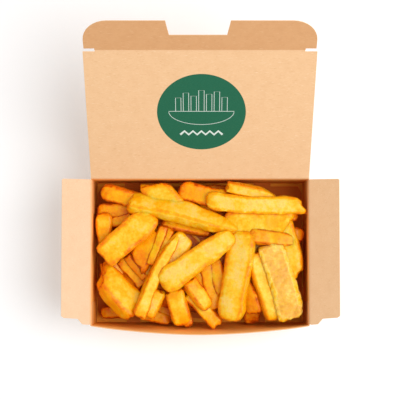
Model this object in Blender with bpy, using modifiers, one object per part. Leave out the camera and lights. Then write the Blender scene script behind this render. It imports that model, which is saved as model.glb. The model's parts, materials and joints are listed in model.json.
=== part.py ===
"""Thick-cut french fries in a folding board carton whose lid stands open."""

import math
import random
from collections import namedtuple

import bmesh
import bpy
import numpy as np
from mathutils import Matrix, Vector

MM = 0.001

# Carton. The origin is the middle of its underside, and the lid's crease runs along X at the back.
WIDTH = 160 * MM
DEPTH = 108 * MM
BOARD = 0.6 * MM
BACK_HEIGHT = 50.1 * MM
SIDE_HEIGHT = 49.2 * MM
FRONT_HEIGHT = 49.2 * MM
FRONT_BULGE = 6.6 * MM  # how far the pressed front wall's rim stands out in its middle
GAP = 0.3 * MM

# Creases. Each fold turns on a line a little above the wall that carries it.
CREASE_ROOM = 0.5 * MM
PANEL_ROOT = 0.6 * MM  # where the lid and the tuck flap begin, out from their creases
LID_AXIS = (DEPTH / 2 - BOARD / 2, BACK_HEIGHT + CREASE_ROOM)
SIDE_AXIS = (WIDTH / 2 - BOARD / 2, SIDE_HEIGHT + CREASE_ROOM)

LID_LENGTH = 106.3 * MM
LID_HALF_WIDTH = 79.7 * MM
LID_RISE = 39.4  # degrees above level

TUCK_LENGTH = 26.5 * MM
TUCK_HALF_WIDTH = 78.9 * MM
TUCK_CORNER = 17 * MM
TUCK_BEND = 12.5  # degrees from the lid's plane
TUCK_NOTCH = (-1.3 * MM, 21.8 * MM, 19.5 * MM, 12.5 * MM)  # middle, half widths outside and inside, depth
LOCK_WIDTH = 7.3 * MM  # slit at each end of the lid's crease, which the side flaps' shoulders enter
LOCK_CUT = 2.0 * MM

FLAP_WIDTH = 24 * MM
FLAP_START = 0.9 * MM  # the side flaps begin further out than the lid, because they fold back further
FLAP_BACK = 53.1 * MM
FLAP_SHOULDER = -53.0 * MM
LEFT_RISE = 34  # degrees above level
RIGHT_RISE = 29

# Loose panel on the tray's floor, held by small tabs in slits low in the walls.
PANEL_X = 78.6 * MM
PANEL_FRONT, PANEL_BACK = -50.6 * MM, 51 * MM
PANEL_CORNER = 8 * MM
TABS = (  # wall, middle and half width
    ("back", -52 * MM, 6 * MM),
    ("back", 48 * MM, 6.5 * MM),
    ("front", -51 * MM, 5 * MM),
    ("front", 46 * MM, 4 * MM),
    ("left", -31 * MM, 3.5 * MM),
    ("right", -30 * MM, 3.5 * MM),
)

# Heap. Positions are in millimetres; roll is in degrees, bow is the sideways bend in the middle, and
# taper is the share of its width that a fry loses from its start to its end.
Fry = namedtuple("Fry", "start end width thick roll bow tips taper", defaults=(0,))

# Each end of a fry: distance from the end, width, thickness and slant, as shares of the fry's own.
TIPS = {
    "round": ((0.0, 0.5, 0.5, 0), (0.16, 0.82, 0.82, 0), (0.5, 1.0, 1.0, 0)),
    "blunt": ((0.0, 0.8, 0.75, 0), (0.14, 0.97, 0.95, 0)),
    "point": ((0.0, 0.22, 0.4, 0), (0.55, 0.62, 0.75, 0), (1.4, 1.0, 1.0, 0)),
    "left": ((0.0, 0.76, 0.7, 0.5), (0.16, 0.94, 0.95, 0.5), (0.9, 1.0, 1.0, 0)),
    "right": ((0.0, 0.76, 0.7, -0.5), (0.16, 0.94, 0.95, -0.5), (0.9, 1.0, 1.0, 0)),
}
SECTION = ((1, 0.5), (0.72, 1), (-0.72, 1), (-1, 0.5), (-1, -0.5), (-0.72, -1), (0.72, -1), (1, -0.5))

FRIES = (
    # Back row and left end
    Fry((-73.5, 45.3, 34), (-40, 37.5, 36), 12.5, 11, 10, 0, "round blunt"),
    Fry((-35.5, 49.6, 38), (-13, 25, 35), 20.5, 11, 6, 0, "right blunt"),
    Fry((-52, 37, 40.6), (28.5, 16, 40.7), 17, 11, -38, 2, "blunt point"),
    Fry((-16, 45.8, 35), (20, 38.5, 36), 15, 11, 0, 0, "round blunt"),
    Fry((19.5, 48.4, 44), (57, 40.5, 39), 8.5, 8.5, 20, 0, "blunt point"),
    Fry((4.5, 38.5, 42), (75.6, 34, 42), 13.5, 11, 6, -1.5, "round right"),
    Fry((-77, 30.5, 30), (-50, 30, 30), 12, 10, 0, 0, "round blunt"),
    Fry((-70.5, 29.5, 36), (-74, 2, 33), 12.6, 10, 0, 1, "round point"),
    Fry((-71.2, -4, 43.3), (-34, 27.5, 43), 20.5, 9.5, 0, 0, "blunt round"),
    Fry((-67, 21, 33), (-50, 26, 33), 8, 8, 0, 0, "blunt blunt"),
    # Front left
    Fry((-73, -16.5, 35.5), (-47, -44, 33), 22.5, 15, -32, 0, "left blunt"),
    Fry((-60, -5, 29), (-42, -25, 28), 10, 9, 0, 0, "blunt blunt"),
    Fry((-54, -1.5, 32), (-40, -20, 31), 7, 9, 25, 0, "blunt blunt"),
    Fry((-34, 17, 36.5), (-46.5, -9.5, 35), 18, 10, 12, 0, "blunt left"),
    Fry((-27, 19.5, 39), (-36.5, -10, 38), 7, 9, 0, 0, "blunt round"),
    Fry((-21.5, 17.5, 37), (-31.5, -3, 36), 8, 9, 0, 0, "round blunt"),
    Fry((-16, 14.5, 39.5), (-45.5, -47.5, 38), 9.5, 15, -12, -2, "point blunt", -0.3),
    Fry((-31, -28, 36), (-39, -47.5, 35), 12, 10, 0, 0, "blunt blunt"),
    Fry((-75.5, -45.5, 10), (-50, -44, 12), 10, 10, 0, 0, "round blunt"),
    Fry((-44, -46, 20), (-22, -51.5, 19), 9, 8.5, 0, 0, "blunt round"),
    # Middle
    Fry((-9.5, 12, 39), (-29, -11, 37), 18, 9, -6, 0, "round blunt"),
    Fry((24.5, 13, 43), (-28.5, -24.3, 43.5), 18, 9.5, 4, 0, "round round", -0.3),
    Fry((-28, 22.5, 33.5), (8, 14.5, 34), 9, 9, -15, 0, "blunt blunt"),
    Fry((-19.5, -28, 36.5), (-12.2, -53.8, 31), 15.6, 11, 4, 0, "blunt round"),
    Fry((-13, -42, 27), (-7.5, -55.5, 27), 8.5, 8, 0, 0, "blunt round"),
    Fry((-46, -41, 18), (-12, -47, 19), 9, 8, 0, 0, "blunt blunt"),
    Fry((-9, -21.5, 39), (6.5, -42, 36), 12, 11, -20, 0, "blunt round"),
    Fry((-9, -31, 33.5), (13.5, -53.9, 31.2), 10.5, 10, 0, 0.5, "blunt blunt"),
    Fry((-4, -36, 27), (11, -47, 26), 11, 10, 0, 0, "blunt round"),
    Fry((3, -8, 34), (12.5, -42, 31), 11, 10, 0, 0, "blunt blunt"),
    Fry((-4, -12, 32), (4, -34, 30), 9, 9, 0, 0, "blunt blunt"),
    Fry((9, -5, 33), (17.5, -31, 34), 11, 9, 0, 0, "blunt blunt"),
    # Right end
    Fry((33.5, 15.5, 41.4), (22.3, -51, 41.4), 20.5, 10, 17, -1, "round round"),
    Fry((40, -1, 39), (55, -50.5, 36.5), 12.5, 11, -12, -1, "blunt round"),
    Fry((35, -20, 35), (41, -45, 32), 13, 11, 20, 0, "point blunt"),
    Fry((37.5, -37, 22), (40, -53.4, 16), 12.5, 12, 0, 0, "blunt round"),
    Fry((51, 5, 41.5), (66.6, -49.3, 40), 20, 9, -4, 1.5, "blunt blunt"),
    Fry((62, 25, 36), (72.2, -17.5, 37.5), 13, 11, 8, 0, "blunt right"),
    Fry((17, 20.5, 38), (65, 21, 39), 20.5, 10, 6, 0, "round left"),
    Fry((36, 12.5, 40.5), (74, 6.5, 38.5), 12, 9.5, -8, 0, "blunt point"),
    Fry((56, 14, 31), (77.5, 12.5, 30.5), 12, 11, 0, 0, "blunt round"),
    Fry((4, 46.5, 20), (24, 46, 20), 9, 9, 0, 0, "blunt blunt"),
    Fry((52, 28, 34), (72.5, 27, 34), 8, 8, 0, 0, "blunt round"),
)
BURIED = 34  # fries in the lower layers, of which only parts show
BURIED_SEED = 18
CORE_RINGS = ((2.1, 68, 43), (10, 73, 46.5), (22, 71, 45), (29, 62, 38), (33, 50, 28))  # height, half sides
CORE_POINTS = 28


def clear_scene():
    for obj in list(bpy.data.objects):
        bpy.data.objects.remove(obj, do_unlink=True)


def collection(name):
    made = bpy.data.collections.new(name)
    bpy.context.scene.collection.children.link(made)
    return made


def material(name, colour, roughness):
    made = bpy.data.materials.new(name)
    made.use_nodes = True
    shader = made.node_tree.nodes["Principled BSDF"]
    shader.inputs["Base Color"].default_value = (*colour, 1)
    shader.inputs["Roughness"].default_value = roughness
    shader.inputs["Metallic"].default_value = 0
    return made


def mesh_object(name, shape, group, look=None):
    """An object made from a bmesh, which is freed."""
    bmesh.ops.recalc_face_normals(shape, faces=shape.faces)
    mesh = bpy.data.meshes.new(name)
    shape.to_mesh(mesh)
    shape.free()
    made = bpy.data.objects.new(name, mesh)
    group.objects.link(made)
    if look:
        mesh.materials.append(look)
    return made


def box_object(name, low, high, group, look=None):
    shape = bmesh.new()
    bmesh.ops.create_cube(shape, size=1)
    middle = (Vector(low) + Vector(high)) / 2
    size = Vector(high) - Vector(low)
    bmesh.ops.transform(shape, matrix=Matrix.Translation(middle) @ Matrix.Diagonal((*size, 1)), verts=shape.verts)
    return mesh_object(name, shape, group, look)


def plate_object(name, outline, group, look):
    """A flat outline as a board-thick plate, its middle plane at z = 0."""
    shape = bmesh.new()
    ring = [shape.verts.new((x, y, -BOARD / 2)) for x, y in outline]
    face = shape.faces.new(ring)
    pushed = bmesh.ops.extrude_face_region(shape, geom=[face])
    lifted = [item for item in pushed["geom"] if isinstance(item, bmesh.types.BMVert)]
    bmesh.ops.translate(shape, verts=lifted, vec=(0, 0, BOARD))
    return mesh_object(name, shape, group, look)


def use_boolean(target, operation, **operand):
    modifier = target.modifiers.new(operation.title(), "BOOLEAN")
    modifier.operation = operation
    modifier.solver = "EXACT"
    for setting, value in operand.items():
        setattr(modifier, setting, value)
    return modifier


def apply_modifiers(target):
    """Puts the evaluated mesh in place of the object's own."""
    graph = bpy.context.evaluated_depsgraph_get()
    mesh = bpy.data.meshes.new_from_object(target.evaluated_get(graph))
    target.modifiers.clear()
    target.data = mesh


def arc(middle, radius, first, last, steps):
    """Points on an arc, from one angle to another in degrees."""
    turns = [math.radians(first + (last - first) * i / steps) for i in range(steps + 1)]
    return [(middle[0] + radius * math.cos(a), middle[1] + radius * math.sin(a)) for a in turns]


def bulge(x):
    """The front rim's share of its bulge at x: none at the corners and all of it in the middle."""
    return (1 - min(1, abs(x) / (WIDTH / 2)) ** 1.7) ** 0.9


# Tray

FRONT_COLUMNS = 24
WALL_ROWS = (0.0, 0.33, 0.66, 1.0)


def front_point(x, share):
    """A point of the front wall's outer face, which leans out as far as its rim's bulge."""
    lean = FRONT_BULGE * bulge(x) * share
    height = math.sqrt((FRONT_HEIGHT * share) ** 2 - lean**2)
    return (x, -DEPTH / 2 - lean, height)


def wall_grid(shape, points):
    """Faces over a grid of points, which is a list of rows."""
    rows = [[shape.verts.new(p) for p in row] for row in points]
    for lower, upper in zip(rows, rows[1:]):
        for i in range(len(lower) - 1):
            shape.faces.new((lower[i], lower[i + 1], upper[i + 1], upper[i]))


def tray_surface():
    """The tray's outer face: floor and four walls, open at the top."""
    shape = bmesh.new()
    half = WIDTH / 2
    columns = [-half + WIDTH * i / FRONT_COLUMNS for i in range(FRONT_COLUMNS + 1)]
    wall_grid(shape, [[front_point(x, share) for x in columns] for share in WALL_ROWS])
    wall_grid(shape, [[(x, -DEPTH / 2, 0) for x in columns], [(x, DEPTH / 2, 0) for x in columns]])
    for side in (-half, half):
        ends = [front_point(side, share) for share in WALL_ROWS]
        heights = [SIDE_HEIGHT * share for share in WALL_ROWS]
        wall_grid(shape, [[end, (side, DEPTH / 2, z)] for end, z in zip(ends, heights)])
    wall_grid(shape, [[(x, DEPTH / 2, SIDE_HEIGHT * share) for x in columns] for share in WALL_ROWS])
    top = ((x, DEPTH / 2, SIDE_HEIGHT) for x in columns)
    rim = ((x, DEPTH / 2, BACK_HEIGHT) for x in columns)
    wall_grid(shape, [list(top), list(rim)])
    bmesh.ops.remove_doubles(shape, verts=shape.verts, dist=0.00001)
    return shape


def tab_box(wall, middle, half, room):
    """Corners of a floor panel's tab in a wall, or of the slit that it enters."""
    low, high = BOARD + GAP - room, 2 * BOARD + GAP + room
    across = (middle - half - room, middle + half + room)
    beyond = 3 * MM if room else 0
    if wall in ("back", "front"):
        side = 1 if wall == "back" else -1
        inner, outer = (PANEL_BACK if side > 0 else -PANEL_FRONT) - 1 * MM, DEPTH / 2 + beyond
        inner = DEPTH / 2 - 3 * BOARD if room else inner
        y = sorted((side * inner, side * outer))
        return (across[0], y[0], low), (across[1], y[1], high)
    side = 1 if wall == "right" else -1
    inner, outer = PANEL_X - 1 * MM, WIDTH / 2 + beyond
    inner = WIDTH / 2 - 3 * BOARD if room else inner
    x = sorted((side * inner, side * outer))
    return (x[0], across[0], low), (x[1], across[1], high)


def make_tray(parts, cutters, board):
    tray = mesh_object("tray", tray_surface(), parts, board)
    shell = tray.modifiers.new("Shell", "SOLIDIFY")
    shell.thickness = BOARD
    shell.offset = -1
    shell.use_even_offset = True
    for i, (wall, middle, half) in enumerate(TABS):
        low, high = tab_box(wall, middle, half, GAP)
        box_object(f"slit_cutter_{i}", low, high, cutters)
    use_boolean(tray, "DIFFERENCE", operand_type="COLLECTION", collection=cutters)
    return tray


def make_base_panel(parts, board):
    """The loose floor panel: back corners cut off, front corners rounded, a tab for each slit."""
    cut_x, cut_y = 3 * MM, 5.5 * MM
    outline = arc((-PANEL_X + PANEL_CORNER, PANEL_FRONT + PANEL_CORNER), PANEL_CORNER, 180, 270, 6)
    outline += arc((PANEL_X - PANEL_CORNER, PANEL_FRONT + PANEL_CORNER), PANEL_CORNER, 270, 360, 6)
    outline += [(PANEL_X, PANEL_BACK - cut_y), (PANEL_X - cut_x, PANEL_BACK)]
    outline += [(-PANEL_X + cut_x, PANEL_BACK), (-PANEL_X, PANEL_BACK - cut_y)]
    panel = plate_object("base_panel", outline, parts, board)
    panel.location.z = 1.5 * BOARD + GAP
    bpy.context.view_layer.update()
    tabs = bpy.data.collections.new("tabs")
    for i, (wall, middle, half) in enumerate(TABS):
        low, high = tab_box(wall, middle, half, 0)
        box_object(f"tab_{i}", low, high, tabs)
    use_boolean(panel, "UNION", operand_type="COLLECTION", collection=tabs)
    apply_modifiers(panel)
    for tab in list(tabs.objects):
        bpy.data.objects.remove(tab, do_unlink=True)
    bpy.data.collections.remove(tabs)
    return panel


# Lid and flaps

def crease(name, place, turn, group):
    """An empty on a fold's axis, which carries the panel beyond the fold."""
    made = bpy.data.objects.new(name, None)
    made.location = place
    made.rotation_euler = turn
    made.empty_display_size = 0.01
    group.objects.link(made)
    return made


def carry(parent, child, place=(0, 0, 0), turn=(0, 0, 0)):
    child.parent = parent
    child.location = place
    child.rotation_euler = turn


def make_lid(parts, guides, board):
    """The lid and the tuck flap at its end, both drawn along +Y from their creases."""
    axis = crease("lid_crease", (0, *LID_AXIS), (math.radians(LID_RISE), 0, 0), guides)
    w, end = LID_HALF_WIDTH, LID_LENGTH - PANEL_ROOT
    lid = plate_object("lid_panel", [(-w, PANEL_ROOT), (w, PANEL_ROOT), (w, end), (-w, end)], parts, board)
    carry(axis, lid)
    fold = crease("tuck_crease", (0, 0, 0), (0, 0, 0), guides)
    carry(axis, fold, (0, LID_LENGTH, 0), (math.radians(TUCK_BEND), 0, 0))
    carry(fold, plate_object("tuck_flap", tuck_outline(), parts, board))


def tuck_outline():
    """The tuck flap's outline: lock slits at its root, rounded corners and a finger notch in its edge."""
    w, r, length = TUCK_HALF_WIDTH, TUCK_CORNER, TUCK_LENGTH
    middle, outer, inner, depth = TUCK_NOTCH
    lock = w - LOCK_WIDTH
    outline = [(-lock, PANEL_ROOT), (lock, PANEL_ROOT), (lock, LOCK_CUT), (w, LOCK_CUT)]
    outline += arc((w - r, length - r), r, 0, 90, 8)
    outline += [(middle + outer, length), (middle + inner, length - depth)]
    outline += [(middle - inner, length - depth), (middle - outer, length)]
    outline += arc((-w + r, length - r), r, 90, 180, 8)
    outline += [(-w, LOCK_CUT), (-lock, LOCK_CUT)]
    return outline


def flap_outline(side):
    """A side flap's outline, drawn outwards from its crease: shoulder at the front, then a long bevel."""
    points = [
        (FLAP_START, FLAP_BACK),
        (FLAP_START, FLAP_SHOULDER),
        (LOCK_WIDTH - 0.6 * MM, FLAP_SHOULDER + 0.5 * MM),
        (10.5 * MM, FLAP_SHOULDER + 4.6 * MM),
        (FLAP_WIDTH - 2 * MM, FLAP_SHOULDER + 5.6 * MM),
        (FLAP_WIDTH, FLAP_SHOULDER + 7 * MM),
        (FLAP_WIDTH, FLAP_BACK - 1 * MM),
        (FLAP_WIDTH - 1 * MM, FLAP_BACK - 0.4 * MM),
    ]
    return [(side * x, y) for x, y in points]


def make_side_flap(name, side, rise, parts, guides, board):
    x, z = SIDE_AXIS
    axis = crease(name + "_crease", (side * x, 0, z), (0, math.radians(-side * rise), 0), guides)
    carry(axis, plate_object(name, flap_outline(side), parts, board))


# Fries

def tip_stations(kind, width, length, far):
    """Places along a fry near one end: distance from its start, scales of width and thickness, slant."""
    found = []
    for away, wide, deep, slant in TIPS[kind]:
        away = min(away * width, 0.45 * length)
        found.append((length - away if far else away, wide, deep, slant * width * (1 if far else -1)))
    return found[::-1] if far else found


def fry_rings(fry):
    """The fry's eight-sided sections from one end to the other, in millimetres."""
    start, end = np.array(fry.start, float), np.array(fry.end, float)
    length = np.linalg.norm(end - start)
    axis = (end - start) / length
    side = np.cross((0, 0, 1), axis)
    side /= np.linalg.norm(side)
    up = np.cross(axis, side)
    turn = math.radians(fry.roll)
    side, up = side * math.cos(turn) + up * math.sin(turn), up * math.cos(turn) - side * math.sin(turn)
    near, far = fry.tips.split()
    stations = tip_stations(near, fry.width, length, False)
    stations.append((length / 2, 1.0, 1.0, 0))
    stations += tip_stations(far, fry.width, length, True)
    rings = []
    for along, wide, deep, slant in stations:
        share = along / length
        wide *= 1 + fry.taper * (0.5 - share)
        centre = start + axis * along + side * fry.bow * 4 * share * (1 - share)
        rings.append([
            centre + side * (u * wide * fry.width / 2) + up * (v * deep * fry.thick / 2) + axis * (slant * u / 2)
            for u, v in SECTION
        ])
    return np.array(rings)


def loft_object(name, rings, group, look=None):
    """A closed solid through rings of points given in millimetres."""
    shape = bmesh.new()
    rows = [[shape.verts.new(Vector(p) * MM) for p in ring] for ring in rings]
    for lower, upper in zip(rows, rows[1:]):
        for i in range(len(lower)):
            j = (i + 1) % len(lower)
            shape.faces.new((lower[i], lower[j], upper[j], upper[i]))
    shape.faces.new(rows[0][::-1])
    shape.faces.new(rows[-1])
    return mesh_object(name, shape, group, look)


def fits_low(rings):
    """Whether a buried fry stays inside the tray, below the top layer and out of the two low corners."""
    x, y, z = rings[..., 0], rings[..., 1], rings[..., 2]
    if abs(x).max() > 77 or y.max() > 51 or y.min() < -50 or z.min() < 2.1 or z.max() > 36:
        return False
    back_right = (x > 52) & (y > 36)
    front_left = (x < -54) & (y < -34)
    return not (back_right | front_left).any()


def buried_fries():
    """Fries of the lower layers, lying every way."""
    draw = random.Random(BURIED_SEED)
    found = []
    while len(found) < BURIED:
        heading, half = draw.uniform(0, math.tau), draw.uniform(22, 30)
        x, y, z = draw.uniform(-60, 60), draw.uniform(-40, 42), draw.choice((10, 18, 26, 30))
        reach = (half * math.cos(heading), half * math.sin(heading))
        lean = draw.uniform(-3, 3)
        fry = Fry((x - reach[0], y - reach[1], z - lean), (x + reach[0], y + reach[1], z + lean),
                  draw.uniform(9, 14), draw.uniform(8, 10), draw.uniform(-20, 20), draw.uniform(-1.5, 1.5),
                  draw.choice(("blunt blunt", "round blunt", "blunt left", "right round")))
        if fits_low(fry_rings(fry)):
            found.append(fry)
    return found


def core_rings():
    """The heap's middle, a rounded block that fills what can't be seen."""
    turns = [math.tau * i / CORE_POINTS for i in range(CORE_POINTS)]
    rings = []
    for z, half_x, half_y in CORE_RINGS:
        ring = []
        for a in turns:
            c, s = math.cos(a), math.sin(a)
            ring.append((half_x * math.copysign(abs(c) ** 0.75, c), half_y * math.copysign(abs(s) ** 0.75, s), z))
        rings.append(ring)
    return rings


def keep_largest_body(target):
    """Drops loose scraps and inner hollows: only the largest connected surface stays."""
    shape = bmesh.new()
    shape.from_mesh(target.data)
    left, bodies = set(shape.verts), []
    while left:
        body, edge = set(), [left.pop()]
        while edge:
            vert = edge.pop()
            body.add(vert)
            for link in vert.link_edges:
                other = link.other_vert(vert)
                if other in left:
                    left.discard(other)
                    edge.append(other)
        bodies.append(body)
    keep = max(bodies, key=len)
    bmesh.ops.delete(shape, geom=[v for v in shape.verts if v not in keep], context="VERTS")
    shape.to_mesh(target.data)
    shape.free()


def make_fries(parts, look):
    """The heap as one solid: a core with every fry fused on."""
    heap = loft_object("fries", core_rings(), parts, look)
    pieces = bpy.data.collections.new("pieces")
    for i, fry in enumerate(FRIES + tuple(buried_fries())):
        loft_object(f"fry_{i}", fry_rings(fry), pieces)
    use_boolean(heap, "UNION", operand_type="COLLECTION", collection=pieces, solver="MANIFOLD")
    apply_modifiers(heap)
    for piece in list(pieces.objects):
        bpy.data.objects.remove(piece, do_unlink=True)
    bpy.data.collections.remove(pieces)
    keep_largest_body(heap)
    return heap


def main():
    clear_scene()
    parts = collection("Fries in a carton")
    guides = collection("Creases")
    cutters = collection("Cutters")
    board = material("Kraft board", (0.80, 0.53, 0.30), 0.75)
    shaded_board = material("Inner kraft board", (0.45, 0.24, 0.11), 0.8)
    crust = material("Fried potato", (0.93, 0.55, 0.08), 0.5)
    make_tray(parts, cutters, board)
    make_base_panel(parts, shaded_board)
    make_lid(parts, guides, board)
    make_side_flap("flap_left", -1, LEFT_RISE, parts, guides, board)
    make_side_flap("flap_right", 1, RIGHT_RISE, parts, guides, board)
    make_fries(parts, crust)
    for cutter in cutters.objects:
        cutter.hide_render = True
        cutter.display_type = "WIRE"


main()
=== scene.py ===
"""Thick-cut french fries in an open kraft board carton, seen from above on a pale floor."""

import json
import math
import random
from collections import namedtuple

import bmesh
import bpy
import numpy as np
from mathutils import Matrix, Vector, noise


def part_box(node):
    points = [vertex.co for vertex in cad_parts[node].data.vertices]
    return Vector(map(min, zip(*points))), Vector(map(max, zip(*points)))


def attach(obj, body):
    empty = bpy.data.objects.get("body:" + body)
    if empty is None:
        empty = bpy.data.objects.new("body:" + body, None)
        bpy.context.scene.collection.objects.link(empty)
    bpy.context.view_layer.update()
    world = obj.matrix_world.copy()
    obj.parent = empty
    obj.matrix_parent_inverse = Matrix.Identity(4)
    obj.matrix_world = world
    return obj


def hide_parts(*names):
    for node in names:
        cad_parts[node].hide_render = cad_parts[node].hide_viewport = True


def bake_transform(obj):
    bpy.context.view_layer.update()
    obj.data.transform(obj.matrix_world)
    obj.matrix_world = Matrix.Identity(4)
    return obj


MM = 0.001

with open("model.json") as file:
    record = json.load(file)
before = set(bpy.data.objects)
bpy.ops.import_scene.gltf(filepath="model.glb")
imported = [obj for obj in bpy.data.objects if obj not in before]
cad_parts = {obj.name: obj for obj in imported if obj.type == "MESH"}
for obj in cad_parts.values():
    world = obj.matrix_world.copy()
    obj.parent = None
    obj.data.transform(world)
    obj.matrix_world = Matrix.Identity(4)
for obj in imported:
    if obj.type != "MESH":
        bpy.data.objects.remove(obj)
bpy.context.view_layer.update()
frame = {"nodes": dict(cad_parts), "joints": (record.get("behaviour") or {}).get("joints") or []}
joints = {joint["name"]: joint for joint in frame["joints"]}

# Carton, in metres. Its size comes from the frame's tray and its folds from the frame's joints.
tray_low, tray_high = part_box("tray")
HALF_WIDTH = tray_high.x
HALF_DEPTH = tray_high.y
BACK_HEIGHT = tray_high.z
SIDE_HEIGHT = 49.2 * MM
FRONT_BULGE = -tray_low.y - HALF_DEPTH
BOARD = 0.6 * MM
TOUCHING = 0.01 * MM  # points nearer than this are one
FOLD_RADIUS = 0.9 * MM
EDGE_SOFTNESS = 0.12 * MM
GLUE_TAB_THICK = 0.35 * MM
GLUE_TAB_BACK, GLUE_TAB_FRONT = 25 * MM, 17 * MM  # how far a tab reaches along the side wall

# How far the panels rise above level at rest, in degrees. The tuck flap goes on from the lid.
LID_RISE, TUCK_BEND, LEFT_RISE, RIGHT_RISE = 39.4, 12.5, 34, 29
UP = Vector((0, 0, 1))


def panel_directions(outward, degrees):
    """A panel's direction away from its crease, and the direction square to its inner face."""
    outward, rise = Vector(outward), math.radians(degrees)
    along = outward * math.cos(rise) + UP * math.sin(rise)
    normal = UP * math.cos(rise) - outward * math.sin(rise)
    return along, normal


LID_ALONG, LID_NORMAL = panel_directions((0, 1, 0), LID_RISE)
TUCK_ALONG, TUCK_NORMAL = panel_directions((0, 1, 0), LID_RISE + TUCK_BEND)
LEFT_ALONG, LEFT_NORMAL = panel_directions((-1, 0, 0), LEFT_RISE)
RIGHT_ALONG, RIGHT_NORMAL = panel_directions((1, 0, 0), RIGHT_RISE)
LID_AXIS = Vector(joints["lid_fold"]["pos_m"])
TUCK_AXIS = Vector(joints["tuck_fold"]["pos_m"])
LEFT_AXIS = Vector(joints["left_fold"]["pos_m"])
RIGHT_AXIS = Vector(joints["right_fold"]["pos_m"])

# Crease bands: how far they reach into the two panels, half their thickness at the ends and what it
# gains in the middle, and where on the first and the second panel their bend begins and ends.
BAND_REACH, BAND_HALF, BAND_SWELL = 1.0 * MM, 0.27 * MM, 0.04 * MM
BAND_STEPS = 8
LID_CREASE_GAP = 0.5 * MM  # at each end of the lid's crease
TUCK_CREASE_HALF = 71.4 * MM
SIDE_CREASE_FRONT, SIDE_CREASE_BACK = -52.6 * MM, 52.8 * MM

# Slits low in the walls, which hold the floor panel's tabs: wall, middle and half width.
SLITS = (
    ("back", -52 * MM, 6 * MM),
    ("back", 48 * MM, 6.5 * MM),
    ("front", -51 * MM, 5 * MM),
    ("front", 46 * MM, 4 * MM),
    ("left", -31 * MM, 3.5 * MM),
    ("right", -30 * MM, 3.5 * MM),
)
SLIT_LOW, SLIT_HIGH = 0.7 * MM, 1.8 * MM

# Printed disc on the lid's inner face, and its pattern, measured from the disc's middle.
DISC_RADIUS = 31.2 * MM
DISC_X = 1.0 * MM
DISC_UP_LID = 57 * MM
DISC_SIDES = 96
DISC_LIFT, LINE_LIFT = 0.03 * MM, 0.05 * MM
THIN_LINE, BOLD_LINE = 0.36 * MM, 1.6 * MM
DISH_HALF, DISH_DEPTH, DISH_RIM = 23 * MM, 11 * MM, 1 * MM
DISH_STEPS = 32
STICK_HALF, STICK_SPACING = 1.9 * MM, 5.4 * MM
STICK_HEIGHTS = (11, 15, 12.5, 17, 14, 16, 11.5)
ZIGZAG_STEP, ZIGZAG_LOW, ZIGZAG_HIGH = 3 * MM, -18.5 * MM, -15.5 * MM
ZIGZAG_POINTS = 11

# Fries, in millimetres. Each has its ends, its section, its roll in degrees, the bend in its middle,
# the shapes of its two ends, the share of its width that it loses along its length, and its tone, from
# -0.5 for dry and tan through 0 for pale to 1 for deep orange. The deeper tones of the lower fries are
# partly painted shade.
Fry = namedtuple("Fry", "start end width thick roll bow tips taper tone", defaults=(0, 0.5))

# The shapes of an end, from its tip inwards: distance from the tip in widths of the fry, shares of the
# full width and thickness, and how far a slanted end runs along the fry, in widths.
TIPS = {
    "round": ((0.0, 0.5, 0.5, 0), (0.16, 0.82, 0.82, 0), (0.5, 1.0, 1.0, 0)),
    "blunt": ((0.0, 0.8, 0.75, 0), (0.14, 0.97, 0.95, 0)),
    "point": ((0.0, 0.22, 0.4, 0), (0.55, 0.62, 0.75, 0), (1.4, 1.0, 1.0, 0)),
    "left": ((0.0, 0.76, 0.7, 0.5), (0.16, 0.94, 0.95, 0.5), (0.9, 1.0, 1.0, 0)),
    "right": ((0.0, 0.76, 0.7, -0.5), (0.16, 0.94, 0.95, -0.5), (0.9, 1.0, 1.0, 0)),
}

# The radius of an end's rounding and the depth of its torn teeth, in millimetres.
TIP_ROUNDING = {"round": 3.0, "blunt": 1.3, "point": 1.0, "left": 1.2, "right": 1.2}
TORN_DEPTH = {"round": 0.6, "blunt": 1.8, "point": 1.2, "left": 2.6, "right": 2.6}

BACK_AND_LEFT = (
    Fry((-73.5, 45.3, 34), (-40, 37.5, 36), 12.5, 11, 10, 0, "round blunt", tone=0.75),
    Fry((-35.5, 49.6, 38), (-13, 25, 35), 20.5, 11, 6, 0, "right blunt", tone=0.3),
    Fry((-52, 37, 40.6), (28.5, 16, 40.7), 17, 11, -38, 2, "blunt point", tone=0.32),
    Fry((-16, 45.8, 35), (20, 38.5, 36), 15, 11, 0, 0, "round blunt", tone=0.75),
    Fry((19.5, 48.4, 44), (57, 40.5, 39), 8.5, 8.5, 20, 0, "blunt point", tone=0.22),
    Fry((4.5, 38.5, 42), (75.6, 34, 42), 13.5, 11, 6, -1.5, "round right", tone=0.15),
    Fry((-77, 30.5, 30), (-50, 30, 30), 12, 10, 0, 0, "round blunt", tone=0.95),
    Fry((-70.5, 29.5, 36), (-74, 2, 33), 12.6, 10, 0, 1, "round point", tone=0.5),
    Fry((-71.2, -4, 43.3), (-34, 27.5, 43), 20.5, 9.5, 0, 0, "blunt round", tone=0.4),
    Fry((-67, 21, 33), (-50, 26, 33), 8, 8, 0, 0, "blunt blunt", tone=0.8),
)
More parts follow.
